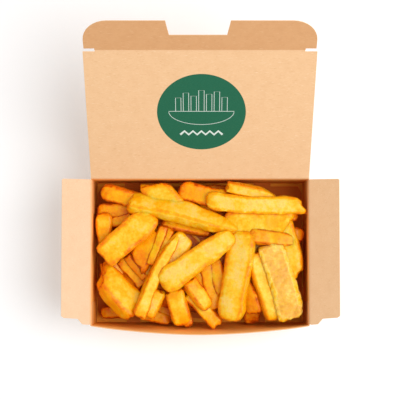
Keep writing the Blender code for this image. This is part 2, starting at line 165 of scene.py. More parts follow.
FRONT_LEFT = (
    Fry((-73, -16.5, 35.5), (-47, -44, 33), 22.5, 15, -32, 0, "left blunt", tone=0.42),
    Fry((-60, -5, 29), (-42, -25, 28), 10, 9, 0, 0, "blunt blunt", tone=0.85),
    Fry((-54, -1.5, 32), (-40, -20, 31), 7, 9, 25, 0, "blunt blunt", tone=1),
    Fry((-34, 17, 36.5), (-46.5, -9.5, 35), 18, 10, 12, 0, "blunt left", tone=0.9),
    Fry((-27, 19.5, 39), (-36.5, -10, 38), 7, 9, 0, 0, "blunt round", tone=0.8),
    Fry((-21.5, 17.5, 37), (-31.5, -3, 36), 8, 9, 0, 0, "round blunt", tone=0.5),
    Fry((-16, 14.5, 39.5), (-45.5, -47.5, 38), 9.5, 15, -12, -2, "point blunt", -0.3, tone=0.42),
    Fry((-31, -28, 36), (-39, -47.5, 35), 12, 10, 0, 0, "blunt blunt", tone=0.2),
    Fry((-75.5, -45.5, 10), (-50, -44, 12), 10, 10, 0, 0, "round blunt", tone=0.6),
    Fry((-44, -46, 20), (-22, -51.5, 19), 9, 8.5, 0, 0, "blunt round", tone=0.4),
)
MIDDLE = (
    Fry((-9.5, 12, 39), (-29, -11, 37), 18, 9, -6, 0, "round blunt", tone=-0.05),
    Fry((24.5, 13, 43), (-28.5, -24.3, 43.5), 18, 9.5, 4, 0, "round round", -0.3, tone=0.18),
    Fry((-28, 22.5, 33.5), (8, 14.5, 34), 9, 9, -15, 0, "blunt blunt", tone=0.85),
    Fry((-19.5, -28, 36.5), (-12.2, -53.8, 31), 15.6, 11, 4, 0, "blunt round", tone=0.45),
    Fry((-13, -42, 27), (-7.5, -55.5, 27), 8.5, 8, 0, 0, "blunt round", tone=1),
    Fry((-46, -41, 18), (-12, -47, 19), 9, 8, 0, 0, "blunt blunt", tone=0.9),
    Fry((-9, -21.5, 39), (6.5, -42, 36), 12, 11, -20, 0, "blunt round", tone=0.5),
    Fry((-9, -31, 33.5), (13.5, -53.9, 31.2), 10.5, 10, 0, 0.5, "blunt blunt", tone=0.5),
    Fry((-4, -36, 27), (11, -47, 26), 11, 10, 0, 0, "blunt round", tone=0.95),
    Fry((3, -8, 34), (12.5, -42, 31), 11, 10, 0, 0, "blunt blunt", tone=0.8),
    Fry((-4, -12, 32), (4, -34, 30), 9, 9, 0, 0, "blunt blunt", tone=0.85),
    Fry((9, -5, 33), (17.5, -31, 34), 11, 9, 0, 0, "blunt blunt", tone=0.8),
)
RIGHT_END = (
    Fry((33.5, 15.5, 41.4), (22.3, -51, 41.4), 20.5, 10, 17, -1, "round round", tone=0.25),
    Fry((40, -1, 39), (55, -50.5, 36.5), 12.5, 11, -12, -1, "blunt round", tone=0.35),
    Fry((35, -20, 35), (41, -45, 32), 13, 11, 20, 0, "point blunt", tone=0.8),
    Fry((37.5, -37, 22), (40, -53.4, 16), 12.5, 12, 0, 0, "blunt round", tone=0.9),
    Fry((51, 5, 41.5), (66.6, -49.3, 40), 20, 9, -4, 1.5, "blunt blunt", tone=-0.45),
    Fry((62, 25, 36), (72.2, -17.5, 37.5), 13, 11, 8, 0, "blunt right", tone=0.35),
    Fry((17, 20.5, 38), (65, 21, 39), 20.5, 10, 6, 0, "round left", tone=0.42),
    Fry((36, 12.5, 40.5), (74, 6.5, 38.5), 12, 9.5, -8, 0, "blunt point", tone=0.75),
    Fry((56, 14, 31), (77.5, 12.5, 30.5), 12, 11, 0, 0, "blunt round", tone=0.9),
    Fry((4, 46.5, 20), (24, 46, 20), 9, 9, 0, 0, "blunt blunt", tone=0.9),
    Fry((52, 28, 34), (72.5, 27, 34), 8, 8, 0, 0, "blunt round", tone=0.9),
)

# Buried fries of the lower layers, in millimetres: their number, tone (deepened as painted shade), seed and
# ends, the heights that they lie at, the room that they keep to, and the two corners of the box that they
# leave free.
BURIED = 34
BURIED_TONE = 0.8
BURIED_SEED = 18
BURIED_TIPS = ("blunt blunt", "round blunt", "blunt left", "right round")
BURIED_LAYERS = (10, 18, 26, 30)
LOW_SIDE, LOW_BACK, LOW_FRONT, LOW_FLOOR, LOW_TOP = 77, 51, -50, 2.1, 36
FREE_RIGHT, FREE_BACK = 52, 36
FREE_LEFT, FREE_FRONT = -54, -34

# The heap's core, in millimetres: height, half width and half depth of its rings, how far its surface
# and its top stay inside them, and the depth, size and seed of its lumps.
CORE_RINGS = ((2.1, 68, 43), (10, 73, 46.5), (22, 71, 45), (29, 62, 38), (33, 50, 28))
CORE_SIDES, CORE_ROWS = 72, 24
CORE_INSET, CORE_TOP_INSET = 1.5, 2
CORE_LUMP_DEPTH, CORE_LUMP_SIZE, CORE_LUMP_SEED = 1.2, 8, 3
# The core's deep tone is painted shade in the heap's depths.
CORE_TONE = 1.2


# Node helpers

class Look:
    """A material with a Principled shader, whose nodes are added one at a time."""

    def __init__(self, name, roughness, **uniform):
        self.material = bpy.data.materials.new(name)
        self.material.use_nodes = True
        self.tree = self.material.node_tree
        self.shader = self.tree.nodes["Principled BSDF"]
        self.shader.inputs["Roughness"].default_value = roughness
        for socket, value in uniform.items():
            self.shader.inputs[socket.replace("_", " ")].default_value = value

    def node(self, kind, inputs=None, **settings):
        """A shader node, with its settings, and its inputs linked to sockets or set to values."""
        made = self.tree.nodes.new("ShaderNode" + kind)
        for setting, value in settings.items():
            setattr(made, setting, value)
        for socket, value in (inputs or {}).items():
            if isinstance(value, bpy.types.NodeSocket):
                self.tree.links.new(value, made.inputs[socket])
            else:
                made.inputs[socket].default_value = value
        return made

    def place(self):
        return self.node("TexCoord").outputs["Object"]

    def noise(self, where, size_mm, detail=2, roughness=0.5):
        """Noise from 0 to 1 with patches of a size in millimetres."""
        inputs = {"Vector": where, "Scale": 1 / (size_mm * MM), "Detail": detail, "Roughness": roughness}
        return self.node("TexNoise", inputs).outputs["Fac"]

    def stretch(self, where, turn, scale):
        turn = [math.radians(a) for a in turn]
        return self.node("Mapping", {"Vector": where, "Rotation": turn, "Scale": scale}).outputs["Vector"]

    def remap(self, value, low, high, to_low=0.0, to_high=1.0):
        """A value that goes smoothly from one range to another and stays inside it."""
        inputs = {"Value": value, "From Min": low, "From Max": high, "To Min": to_low, "To Max": to_high}
        return self.node("MapRange", inputs, interpolation_type="SMOOTHSTEP").outputs["Result"]

    def math(self, operation, first, second):
        return self.node("Math", {0: first, 1: second}, operation=operation).outputs[0]

    def mix(self, share, first, second, blend="MIX"):
        """The first colour, with a share of the second mixed in."""
        made = self.node("Mix", data_type="RGBA", blend_type=blend, clamp_factor=True)
        for socket, value in zip((made.inputs[0], made.inputs[6], made.inputs[7]), (share, first, second)):
            if isinstance(value, bpy.types.NodeSocket):
                self.tree.links.new(value, socket)
            else:
                socket.default_value = (*value, 1) if isinstance(value, tuple) else value
        return made.outputs[2]

    def ramp(self, value, stops):
        """A colour that follows a value through stops, each given as the value there and its colour."""
        low, high = stops[0][0], stops[-1][0]
        share = self.node("MapRange", {"Value": value, "From Min": low, "From Max": high}).outputs["Result"]
        made = self.node("ValToRGB", {"Fac": share})
        elements = made.color_ramp.elements
        elements.remove(elements[1])
        elements[0].color = (*stops[0][1], 1)
        for at, colour in stops[1:]:
            elements.new((at - low) / (high - low)).color = (*colour, 1)
        return made.outputs["Color"]

    def colour(self, socket):
        self.tree.links.new(socket, self.shader.inputs["Base Color"])

    def roughness(self, socket):
        self.tree.links.new(socket, self.shader.inputs["Roughness"])

    def bump(self, height, distance_mm, strength=1.0):
        inputs = {"Height": height, "Distance": distance_mm * MM, "Strength": strength}
        self.tree.links.new(self.node("Bump", inputs).outputs["Normal"], self.shader.inputs["Normal"])


# Board

BOARD_COLOUR = (0.86, 0.545, 0.30)
BOARD_DARK = (0.74, 0.42, 0.20)
BOARD_PALE = (0.93, 0.66, 0.42)
CUT_EDGE = (0.95, 0.72, 0.50)
# Painted shade of the deep tray, multiplied in towards its floor.
PAINTED_LOW_SHADE = (1.0, 0.72, 0.2)

# What each panel's board colours are multiplied by. On the tuck flap and the floor panel this is
# painted shade, on the left flap a painted sheen, and on the tray's inner face and the glue tabs
# painted bounce light, which makes the board there more orange, and on the inner face brighter too.
PLAIN = (1, 1, 1)
TUCK_PAINTED_SHADE = (0.83, 0.71, 0.6)
LEFT_PAINTED_SHEEN = (1.0, 1.06, 1.22)
INNER_PAINTED_LIGHT = (1.3, 1.16, 0.66)
FLOOR_PAINTED_SHADE = (0.95, 0.4, 0.08)
TAB_PAINTED_LIGHT = (1.05, 0.92, 0.68)

CLOUD_MM, FIBRE_MM, GRAIN_MM = 7, 0.55, 0.8
FIBRE_TURNS = ((0, 0, 12), (40, 0, 75), (20, 30, 140), (70, 20, 200))
FIBRE_STRETCH = (0.16, 1, 1)


def kraft(name, normal=None, shade=PLAIN, painted_low_shade=False):
    """Uncoated kraft board: soft mottling, short fibres lying every way, and paler cut edges.

    With painted low shade on, the board is darker and more orange towards the tray's floor: painted
    shade of the deep tray. On some panels the shade multiplier holds painted light and shade too."""
    look = Look(name, 0.82, Specular_IOR_Level=0.25)
    where = look.place()
    tint, dark, pale = (
        tuple(channel * share for channel, share in zip(base, shade))
        for base in (BOARD_COLOUR, BOARD_DARK, BOARD_PALE)
    )
    cloud = look.remap(look.noise(where, CLOUD_MM, 5, 0.62), 0.35, 0.7)
    colour = look.mix(look.math("MULTIPLY", cloud, 0.22), tint, dark)
    for i, turn in enumerate(FIBRE_TURNS):
        fibre = look.noise(look.stretch(where, turn, FIBRE_STRETCH), FIBRE_MM, 1)
        fleck = look.remap(fibre, 0.66, 0.74)
        colour = look.mix(look.math("MULTIPLY", fleck, 0.6), colour, pale if i % 2 else dark)
    if normal is not None:
        facing = look.node("TexCoord").outputs["Normal"]
        inputs = {0: facing, 1: tuple(normal)}
        dot = look.node("VectorMath", inputs, operation="DOT_PRODUCT").outputs["Value"]
        edge = look.remap(look.math("ABSOLUTE", dot, 0.0), 0.75, 0.35)
        colour = look.mix(edge, colour, CUT_EDGE)
    # Painted shade: darker and more orange towards the tray's floor.
    if painted_low_shade:
        above = look.node("SeparateXYZ", {"Vector": where}).outputs["Z"]
        low = look.remap(above, SIDE_HEIGHT, 0.45 * SIDE_HEIGHT)
        colour = look.mix(low, colour, PAINTED_LOW_SHADE, "MULTIPLY")
    look.colour(colour)
    look.bump(look.noise(where, GRAIN_MM, 3), 0.05, 0.5)
    return look.material


def mesh_piece(name, shape, look, body):
    """A piece made from a bmesh, which rides on a body and has a finish where they are named."""
    bmesh.ops.recalc_face_normals(shape, faces=shape.faces)
    mesh = bpy.data.meshes.new(name)
    shape.to_mesh(mesh)
    shape.free()
    mesh.materials.append(look)
    made = bpy.data.objects.new(name, mesh)
    bpy.context.scene.collection.objects.link(made)
    if body:
        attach(made, body)
    return made


def smooth(piece, degrees=35):
    """Smooth shading that keeps edges sharper than an angle."""
    piece.data.shade_smooth()
    piece.data.set_sharp_from_angle(angle=math.radians(degrees))


def apply_modifiers(piece):
    """Gives the piece the mesh that its modifiers make."""
    graph = bpy.context.evaluated_depsgraph_get()
    mesh = bpy.data.meshes.new_from_object(piece.evaluated_get(graph))
    piece.modifiers.clear()
    piece.data = mesh


FRONT_COLUMNS = 48
WALL_ROWS = [i / 8 for i in range(9)]  # shares of the wall's height


def bulge(x):
    """The front rim's share of its bulge at x: none at the corners and all of it in the middle."""
    return (1 - min(1, abs(x) / HALF_WIDTH) ** 1.7) ** 0.9


def front_point(x, share):
    """A point on the front wall's outer face, a share of the way up its slope."""
    lean = FRONT_BULGE * bulge(x) * share
    return (x, -HALF_DEPTH - lean, math.sqrt((SIDE_HEIGHT * share) ** 2 - lean**2))


def wall_grid(shape, points):
    """Faces over rows of points."""
    rows = [[shape.verts.new(p) for p in row] for row in points]
    for lower, upper in zip(rows, rows[1:]):
        for i in range(len(lower) - 1):
            shape.faces.new((lower[i], lower[i + 1], upper[i + 1], upper[i]))


def tray_surface():
    """The tray's outer face, open at the top, with its folds rounded."""
    shape = bmesh.new()
    columns = [-HALF_WIDTH + 2 * HALF_WIDTH * i / FRONT_COLUMNS for i in range(FRONT_COLUMNS + 1)]
    wall_grid(shape, [[front_point(x, share) for x in columns] for share in WALL_ROWS])
    wall_grid(shape, [[(x, -HALF_DEPTH, 0) for x in columns], [(x, HALF_DEPTH, 0) for x in columns]])
    for x in (-HALF_WIDTH, HALF_WIDTH):
        rows = [[front_point(x, share), (x, HALF_DEPTH, SIDE_HEIGHT * share)] for share in WALL_ROWS]
        wall_grid(shape, rows)
    wall_grid(shape, [[(x, HALF_DEPTH, SIDE_HEIGHT * share) for x in columns] for share in WALL_ROWS])
    wall_grid(shape, [[(x, HALF_DEPTH, z) for x in columns] for z in (SIDE_HEIGHT, BACK_HEIGHT)])
    bmesh.ops.remove_doubles(shape, verts=shape.verts, dist=TOUCHING)
    bmesh.ops.recalc_face_normals(shape, faces=shape.faces)
    folds = [e for e in shape.edges if len(e.link_faces) == 2 and e.calc_face_angle() > math.radians(45)]
    bmesh.ops.bevel(shape, geom=folds, offset=FOLD_RADIUS, segments=3, profile=0.5, affect="EDGES")
    return shape


def slit_box(wall, middle, half):
    """A cutter for one slit, through its wall."""
    shape = bmesh.new()
    bmesh.ops.create_cube(shape, size=1)
    through, high = 6 * BOARD, SLIT_HIGH - SLIT_LOW
    height = (SLIT_LOW + SLIT_HIGH) / 2
    if wall in ("back", "front"):
        place = (middle, HALF_DEPTH if wall == "back" else -HALF_DEPTH, height)
        size = (2 * half, through, high)
    else:
        place = (HALF_WIDTH if wall == "right" else -HALF_WIDTH, middle, height)
        size = (through, 2 * half, high)
    matrix = Matrix.Translation(place) @ Matrix.Diagonal((*size, 1))
    bmesh.ops.transform(shape, matrix=matrix, verts=shape.verts)
    return mesh_piece("slit_cutter", shape, None, None)


def make_tray(look, inside_look):
    """The tray: its outer face thickened inwards, with the slits cut through it."""
    tray = mesh_piece("tray_board", tray_surface(), look, "carton")
    tray.data.materials.append(inside_look)
    shell = tray.modifiers.new("Shell", "SOLIDIFY")
    shell.thickness = BOARD
    shell.offset = -1
    shell.use_even_offset = True
    shell.material_offset = 1
    tray.modifiers.new("Flat faces", "TRIANGULATE")
    apply_modifiers(tray)
    for slit in SLITS:
        cutter = slit_box(*slit)
        cut = tray.modifiers.new("Slit", "BOOLEAN")
        cut.operation = "DIFFERENCE"
        cut.object = cutter
        apply_modifiers(tray)
        bpy.data.objects.remove(cutter, do_unlink=True)
    smooth(tray)
    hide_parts("tray")


def bridge(shape, near, far):
    """A closed body's faces between two rings of vertices and over both of them."""
    for i in range(len(near)):
        j = (i + 1) % len(near)
        shape.faces.new((near[i], near[j], far[j], far[i]))
    shape.faces.new(near)
    shape.faces.new(far[::-1])


def crease_band(name, look, pivot, towards, line):
    """A folded strip of board round a hinge axis, which bends between the two panels that it joins.

    towards holds the directions from the axis into the two panels, and line the two ends along it."""
    first, second = towards
    ends = [Vector(end) for end in line]
    shape = bmesh.new()
    rings = []
    for end in ends:
        ring = []
        for side, places in ((1, range(BAND_STEPS + 1)), (-1, range(BAND_STEPS, -1, -1))):
            for i in places:
                t = i / BAND_STEPS
                middle = first * BAND_REACH * (1 - t) ** 2 + second * BAND_REACH * t**2
                heading = (second * t - first * (1 - t)).normalized()
                across = heading.cross(ends[1] - ends[0]).normalized()
                half = BAND_HALF + BAND_SWELL * math.sin(math.pi * t)
                ring.append(shape.verts.new(pivot + end + middle + across * half * side))
        rings.append(ring)
    bridge(shape, *rings)
    band = mesh_piece(name, shape, look, None)
    smooth(band, 50)
    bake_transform(band)


def glue_tab_outline(depth):
    """A corner tab's outline, as distance from the corner and height: its free end is round below."""
    fold, low, high = 0.4 * MM, 3 * MM, SIDE_HEIGHT - 1.2 * MM
    radius, foot = 7 * MM, 6 * MM
    cut_along, cut_down = 2 * MM, 4 * MM
    points = [(fold, low), (depth - foot, low)]
    for degrees in range(-90, 1, 15):
        a = math.radians(degrees)
        points.append((depth - radius + radius * math.cos(a), low + radius + foot + radius * math.sin(a)))
    points += [(depth, high - cut_down), (depth - cut_along, high), (fold, high)]
    return points


def make_glue_tabs(look):
    """Thin tabs glued inside the side walls, one at each corner."""
    shape = bmesh.new()
    for side in (-1, 1):
        wall = side * (HALF_WIDTH - BOARD)
        inside = wall - side * GLUE_TAB_THICK
        for end, depth in ((1, GLUE_TAB_BACK), (-1, GLUE_TAB_FRONT)):
            corner = end * (HALF_DEPTH - BOARD)
            outline = [(corner - end * along, z) for along, z in glue_tab_outline(depth)]
            rings = [[shape.verts.new((x, y, z)) for y, z in outline] for x in (wall, inside)]
            bridge(shape, *rings)
    mesh_piece("glue_tabs", shape, look, "carton")


# Print

def lid_point(x, along, lift):
    """A point over the lid's inner face: x, distance from the crease, height off the face."""
    return LID_AXIS + Vector((x, 0, 0)) + LID_ALONG * along + LID_NORMAL * (BOARD / 2 + lift)


def strip_on_lid(shape, points, width, lift, closed=False):
    """A flat line on the lid through points given as x and distance up the lid from the disc's middle."""
    points = [Vector(p) for p in points]
    count = len(points)
    sides = []
    for i, p in enumerate(points):
        before = points[i - 1] if i or closed else p
        after = points[(i + 1) % count] if i < count - 1 or closed else p
        heading = (after - before).normalized()
        across = Vector((-heading.y, heading.x)) * width / 2
        corners = (p + across, p - across)
        sides.append([shape.verts.new(lid_point(DISC_X + q.x, DISC_UP_LID + q.y, lift)) for q in corners])
    pairs = list(zip(sides, sides[1:])) + ([(sides[-1], sides[0])] if closed else [])
    for a, b in pairs:
        shape.faces.new((a[0], a[1], b[1], b[0]))


def print_look(name, colour, worn):
    """Matt ink, a little worn in fine patches."""
    look = Look(name, 0.6, Specular_IOR_Level=0.2)
    where = look.place()
    patch = look.remap(look.noise(where, 0.7, 3), 0.4, 0.7)
    look.colour(look.mix(look.math("MULTIPLY", patch, 0.5), colour, worn))
    look.bump(look.noise(where, GRAIN_MM, 3), 0.04, 0.5)
    return look.material


def make_disc():
    """The print's green disc."""
    shape = bmesh.new()
    turns = [math.tau * i / DISC_SIDES for i in range(DISC_SIDES)]
    ring = [(DISC_X + DISC_RADIUS * math.cos(a), DISC_UP_LID + DISC_RADIUS * math.sin(a)) for a in turns]
    shape.faces.new([shape.verts.new(lid_point(x, along, DISC_LIFT)) for x, along in ring])
    green = print_look("Green print", (0.014, 0.128, 0.066), (0.022, 0.152, 0.082))
    mesh_piece("lid_print", shape, green, "lid")


def make_pattern():
    """Pale lines on the disc: a row of upright sticks in a dish, and a zigzag under it."""
    lines = bmesh.new()
    for i, height in enumerate(STICK_HEIGHTS):
        x = (i - len(STICK_HEIGHTS) // 2) * STICK_SPACING
        left, right, top = x - STICK_HALF, x + STICK_HALF, DISH_RIM + height * MM
        stick = [(left, DISH_RIM), (left, top), (right, top), (right, DISH_RIM)]
        strip_on_lid(lines, stick, THIN_LINE, LINE_LIFT)
    turns = [math.pi + math.pi * i / DISH_STEPS for i in range(DISH_STEPS + 1)]
    dish = [(DISH_HALF * math.cos(a), DISH_RIM + DISH_DEPTH * math.sin(a)) for a in turns]
    strip_on_lid(lines, dish, THIN_LINE, LINE_LIFT, closed=True)
    zigzag = [
        ((i - ZIGZAG_POINTS // 2) * ZIGZAG_STEP, ZIGZAG_HIGH if i % 2 else ZIGZAG_LOW)
        for i in range(ZIGZAG_POINTS)
    ]
    strip_on_lid(lines, zigzag, BOLD_LINE, LINE_LIFT)
    pale = print_look("Pale print", (0.72, 0.8, 0.74), (0.6, 0.72, 0.65))
    mesh_piece("lid_print_lines", lines, pale, "lid")


# Carton

def rounded_edges(panel):
    """Slightly softened cut edges on a flat panel, as modifiers over the fixed mesh."""
    weld = panel.modifiers.new("Weld", "WELD")
    weld.merge_threshold = TOUCHING
    flat = panel.modifiers.new("Flat", "DECIMATE")
    flat.decimate_type = "DISSOLVE"
    flat.angle_limit = math.radians(1)
    soft = panel.modifiers.new("Soft edges", "BEVEL")
    soft.width = EDGE_SOFTNESS
    soft.segments = 2
    soft.limit_method = "ANGLE"


def make_creases(look):
    """A band over each of the four creases."""
    across = HALF_WIDTH - LID_CREASE_GAP
    crease_band("lid_crease", look, LID_AXIS, (-UP, LID_ALONG),
                ((-across, 0, 0), (across, 0, 0)))
    across = TUCK_CREASE_HALF
    crease_band("tuck_crease", look, TUCK_AXIS, (-LID_ALONG, TUCK_ALONG),
                ((-across, 0, 0), (across, 0, 0)))
    ends = ((0, SIDE_CREASE_FRONT, 0), (0, SIDE_CREASE_BACK, 0))
    crease_band("left_crease", look, LEFT_AXIS, (-UP, LEFT_ALONG), ends)
    crease_band("right_crease", look, RIGHT_AXIS, (-UP, RIGHT_ALONG), ends)


def make_carton():
    """The tray and its tabs, the flat panels with their materials, the creases and the print."""
    board = kraft("Kraft board")
    # The tray's inner face gets painted bounce light, and painted shade towards its floor.
    make_tray(board, kraft("Kraft inside", shade=INNER_PAINTED_LIGHT, painted_low_shade=True))
    # The glue tabs get a milder painted bounce light and the same painted shade towards the floor.
    make_glue_tabs(kraft("Kraft tab", shade=TAB_PAINTED_LIGHT, painted_low_shade=True))
    looks = {
        "lid_panel": kraft("Kraft lid", LID_NORMAL),
        # The tuck flap is darkened as painted shade.
        "tuck_flap": kraft("Kraft tuck", TUCK_NORMAL, TUCK_PAINTED_SHADE),
        # The left flap is paled as a painted sheen.
        "flap_left": kraft("Kraft left flap", LEFT_NORMAL, LEFT_PAINTED_SHEEN),
        "flap_right": kraft("Kraft right flap", RIGHT_NORMAL),
        # The floor panel is darkened as painted shade.
        "base_panel": kraft("Kraft floor panel", UP, FLOOR_PAINTED_SHADE),
    }
    for node, look in looks.items():
        panel = frame["nodes"][node]
        panel.data.materials.clear()
        panel.data.materials.append(look)
        if node != "base_panel":
            rounded_edges(panel)
    make_creases(board)
    make_disc()
    make_pattern()


# Fries

AROUND = 52  # points in each ring
RING_STEP, DRIED_STEP, BURIED_STEP = 1.0, 0.6, 2.0  # millimetres between rings
DRIED_TONE = -0.3  # a fry paler than this has a dry, wrinkled skin
TONE_SHIFT = 1.0  # added to the tones in the mesh, whose colours can't be negative
THINNEST = 0.15  # half the least width or thickness of a fry at its tips, in millimetres
ROUNDED_SHARE = 0.42  # the most that an end's rounding takes of the fry's thinner side
TIP_SHARE = 0.45  # the most that an end's shape takes of the fry's length
INWARD = 0.12  # how far the whole crust stands in, in millimetres

# Lumps on every fry and wrinkles on a dried one, in millimetres: depth, size, and what is added to the
# fry's seed. A wrinkle runs where the ripple is near 0, and its last value is how far it sinks.
LUMPS = ((0.75, 12, 0), (0.26, 4, 5), (0.06, 1.5, 0))
WRINKLES = ((2.6, 6, 7, 0.45), (1.2, 3, 3, 0.2))
WRINKLE_TOP = 0.25

# Ends and edges: how far in an end is torn, the size of its teeth and what is added to the seed for
# them, how far in it is browned, and where round the section the browned edges begin and how fast.
TORN_REACH, TORN_SIZE, TORN_SEED = 1.8, 3.4, 9
BROWNED_REACH = 3.5
EDGE_FROM, EDGE_SPAN = 0.6, 0.12

# Flat caps: their rings as shares of the last ring of the fry, and how browned they are.
CAP_SCALES = (0.6, 0.25)
CAP_BROWNING = 0.7
Body = namedtuple("Body", "points faces crust")


def section(power, count):
    """Points round a unit superellipse, spread partly by distance and partly by angle."""
    fine = np.linspace(0, math.tau, 721)
    c, s = np.cos(fine), np.sin(fine)
    x = np.sign(c) * abs(c) ** (2 / power)
    y = np.sign(s) * abs(s) ** (2 / power)
    run = np.concatenate(([0], np.cumsum(np.hypot(np.diff(x), np.diff(y)))))
    spread = 0.6 * run / run[-1] + 0.4 * fine / math.tau
    at = np.interp(np.arange(count) / count, spread, fine)
    return np.interp(at, fine, x), np.interp(at, fine, y)


def ripple(points, size, seed):
    """Smooth noise from -1 to 1 at points, with lumps of a size in millimetres."""
    shift = Vector((seed * 17.3, seed * 5.1, seed * 9.7))
    values = [noise.noise(Vector(p) / size + shift) for p in points.reshape(-1, 3)]
    return np.array(values).reshape(points.shape[:-1])


def tip_stations(kind, width, length, far):
    """Places along a fry near one end: distance from its start, scales of width and thickness, slant."""
    found = []
    for away, wide, deep, slant in TIPS[kind]:
        away = min(away * width, TIP_SHARE * length)
        found.append((length - away if far else away, wide, deep, slant * width * (1 if far else -1)))
    return found[::-1] if far else found


def fry_stations(fry, length):
    """Places along a fry, from one tip to the other, with the same values."""
    near, far = fry.tips.split()
    middle = (length / 2, 1.0, 1.0, 0)
    first = tip_stations(near, fry.width, length, False)
    return first + [middle] + tip_stations(far, fry.width, length, True)


def fry_frame(fry):
    """A fry's start, length, axis and its side and up directions."""
    start, end = np.array(fry.start, float), np.array(fry.end, float)
    length = np.linalg.norm(end - start)
    axis = (end - start) / length
    side = np.cross((0, 0, 1), axis)
    side /= np.linalg.norm(side)
    return start, length, axis, side, np.cross(axis, side)


def grid_normals(points):
    """Unit normals of a grid whose rows are closed rings."""
    along = np.gradient(points, axis=0)
    round_ring = np.roll(points, -1, axis=1) - np.roll(points, 1, axis=1)
    normal = np.cross(round_ring, along)
    return normal / np.maximum(np.linalg.norm(normal, axis=2, keepdims=True), 1e-9)


def softened(values, times=2):
    """Values along a fry with their corners rounded off."""
    for _ in range(times):
        padded = np.concatenate(([values[0]], values, [values[-1]]))
        values = (padded[:-2] + 2 * padded[1:-1] + padded[2:]) / 4
    return values


def ring_places(length, near_radius, far_radius, step):
    """Distances along a fry at which it has a ring, closer together over its rounded ends."""
    quarter = np.linspace(0, 1, 7) * math.pi / 2
    first = near_radius * (1 - np.cos(quarter))
    last = length - far_radius * (1 - np.cos(quarter[::-1]))
    count = max(6, round((last[0] - first[-1]) / step))
    middle = np.linspace(first[-1], last[0], count)[1:-1]
    return np.concatenate((first, middle, last))


def rounding(distance, radius):
    """How far the surface draws in at a distance from an end that is rounded to a radius."""
    short = np.maximum(0, radius - distance)
    return np.maximum(0, radius - np.sqrt(np.maximum(0, radius**2 - short**2)))


def relief(points, seed, dried):
    """How far each point of the crust stands out."""
    height = sum(depth * ripple(points, size, seed + shift) for depth, size, shift in LUMPS)
    if dried:
        for depth, size, shift, sunk in WRINKLES:
            height += depth * np.minimum(abs(ripple(points, size, seed + shift)), WRINKLE_TOP) - sunk
    return height - INWARD


def fry_body(fry, seed, step=RING_STEP):
    """One fry as a closed mesh: a rounded section lofted between its two ends."""
    dried = fry.tone < DRIED_TONE
    draw = random.Random(seed)
    start, length, axis, side, up = fry_frame(fry)
    near, far = fry.tips.split()
    known = np.array(fry_stations(fry, length))
    limit = ROUNDED_SHARE * min(fry.width, fry.thick)
    near_radius = min(TIP_ROUNDING[near], limit * known[0, 2])
    far_radius = min(TIP_ROUNDING[far], limit * known[-1, 2])
    s = ring_places(length, near_radius, far_radius, DRIED_STEP if dried else step)
    from_far = length - s
    share = s / length
    wide, deep, slant = (softened(np.interp(s, known[:, 0], known[:, k])) for k in (1, 2, 3))
    wide *= 1 + fry.taper * (0.5 - share)
    inset = rounding(s, near_radius) + rounding(from_far, far_radius)
    half_wide = np.maximum(THINNEST, wide * fry.width / 2 - inset)
    half_deep = np.maximum(THINNEST, deep * fry.thick / 2 - inset)
    # Slow waves along the fry in its width, its thickness and its line, and a slight twist
    wave = [draw.uniform(0, math.tau) for _ in range(4)]
    half_wide *= 1 + 0.03 * np.sin(s / 6 + wave[0]) + 0.02 * np.sin(s / 2.7 + wave[1])
    half_deep *= 1 + 0.03 * np.sin(s / 7 + wave[2])
    sway = 0.35 * np.sin(s / 9 + wave[3])
    turn = np.radians(fry.roll + draw.uniform(-9, 9) * (share - 0.5))
    u, v = section(draw.uniform(4.2, 6.0), AROUND)
    sides = side * np.cos(turn)[:, None] + up * np.sin(turn)[:, None]
    ups = up * np.cos(turn)[:, None] - side * np.sin(turn)[:, None]
    centre = start + axis * s[:, None] + side * (fry.bow * 4 * share * (1 - share) + sway)[:, None]
    points = (
        centre[:, None, :]
        + sides[:, None, :] * (u[None, :] * half_wide[:, None])[..., None]
        + ups[:, None, :] * (v[None, :] * half_deep[:, None])[..., None]
        + axis * (slant[:, None] * u[None, :] / 2)[..., None]
    )
    points = points + grid_normals(points) * relief(points, seed, dried)[..., None]
    torn = np.exp(-s / TORN_REACH) * TORN_DEPTH[near] - np.exp(-from_far / TORN_REACH) * TORN_DEPTH[far]
    teeth = ripple(points, TORN_SIZE, seed + TORN_SEED)
    points = points + axis * (torn[:, None] * teeth)[..., None]
    edge = np.clip((abs(u) * abs(v) - EDGE_FROM) / EDGE_SPAN, 0, 1)[None, :] * np.ones((len(s), 1))
    tip = np.exp(-np.minimum(s, from_far) / BROWNED_REACH)[:, None] * np.ones((1, AROUND))
    return close_grid(points, edge, tip, fry.tone)


def close_grid(points, edge, tip, tone):
    """A closed body from a grid of rings, with a flat cap at each end.

    Each point's crust values are how near it is to an edge and to a tip, from 0 to 1, and its tone."""
    rings, count = points.shape[:2]
    vertices = [points.reshape(-1, 3)]
    faces = []
    for i in range(rings - 1):
        for j in range(count):
            k = (j + 1) % count
            faces.append((i * count + j, i * count + k, (i + 1) * count + k, (i + 1) * count + j))
    total = rings * count
    for row in (0, rings - 1):
        middle = points[row].mean(axis=0)
        previous = row * count
        for scale in CAP_SCALES:
            vertices.append(middle + (points[row] - middle) * scale)
            for j in range(count):
                k = (j + 1) % count
                quad = (previous + j, previous + k, total + k, total + j)
                faces.append(quad[::-1] if row == 0 else quad)
            previous = total
            total += count
        vertices.append(middle[None, :])
        for j in range(count):
            triangle = (previous + j, previous + (j + 1) % count, total)
            faces.append(triangle[::-1] if row == 0 else triangle)
        total += 1
    sides = np.stack((edge.ravel(), tip.ravel()), axis=1)
    cap = np.tile((0.0, CAP_BROWNING), (len(CAP_SCALES) * count + 1, 1))
    worn = np.concatenate((sides, cap, cap))
    crust = np.column_stack((worn, np.full(len(worn), tone + TONE_SHIFT), np.ones(len(worn))))
    return Body(np.concatenate(vertices), faces, crust)


